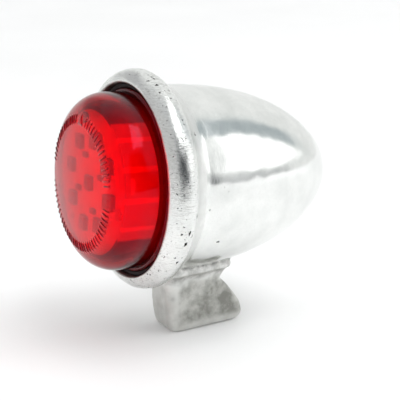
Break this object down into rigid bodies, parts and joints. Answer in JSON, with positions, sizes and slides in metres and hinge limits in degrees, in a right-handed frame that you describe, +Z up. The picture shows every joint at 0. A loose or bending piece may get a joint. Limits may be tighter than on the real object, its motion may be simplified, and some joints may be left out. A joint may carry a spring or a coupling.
{
  "type": "motorcycle tail light",
  "caption": "Bullet tail light: a polished cast shell on a short foot, with a round red LED lens unit held in its mouth by a rubber ring.",
  "frame": {"origin": "mouth of the fixing hole, on the flat under the foot", "axes": "+Z up from the foot's flat face, -Y towards the lens, +Y towards the tail, +X to the lamp's side"},
  "size_m": [0.055, 0.0716, 0.0688],
  "materials": {
    "cast_aluminium": "sand-cast and polished, rough as cast on the foot",
    "black_rubber": "moulded, satin",
    "seal_rubber": "moulded, satin",
    "red_lens": "clear red, gloss",
    "black_plastic": "moulded, fine texture",
    "white_plastic": "moulded, satin",
    "board_white": "white solder mask",
    "led_package": "moulded",
    "led_gel": "clear silicone",
    "chip_black": "moulded epoxy",
    "tinned": "tin plated",
    "can_aluminium": "drawn can",
    "solder": "reflowed",
    "potting_resin": "poured epoxy",
    "lead_red": "PVC insulation",
    "lead_yellow": "PVC insulation",
    "lead_black": "PVC insulation",
    "pin_brass": "drawn"
  },
  "bodies": {
    "shell": {"housing": "cast_aluminium", "wire_grommet": "black_rubber"},
    "ring": {"mouth_grommet": "black_rubber"},
    "lens_unit": {"lens": "red_lens", "lens_seal": "seal_rubber", "rear_cup": "black_plastic", "light_drum": "white_plastic", "led_board": "board_white", "brake_leds": "led_package", "tail_leds": "led_package", "centre_led": "led_package", "brake_led_windows": "led_gel", "tail_led_windows": "led_gel", "centre_led_window": "led_gel", "resistors": "chip_black", "bridge_rectifier": "chip_black", "led_driver": "chip_black", "surge_diode": "chip_black", "chip_legs": "tinned", "capacitor": "can_aluminium", "lead_solder": "solder", "potting": "potting_resin", "lead_tail": "lead_red", "lead_brake": "lead_yellow", "lead_ground": "lead_black", "pin_tail": "pin_brass", "pin_brake": "pin_brass", "pin_ground": "pin_brass"}
  },
  "joints": [
    {"name": "unit_pull", "type": "slide", "parent": "shell", "child": "ring", "axis": [0, -0.9976, 0.0698], "range_m": [0, 0.026]},
    {"name": "unit_turn", "type": "hinge", "parent": "ring", "child": "lens_unit", "pos_m": [0, -0.02025, 0.04152], "axis": [0, -0.9976, 0.0698], "range_deg": [-90, 90]}
  ]
}
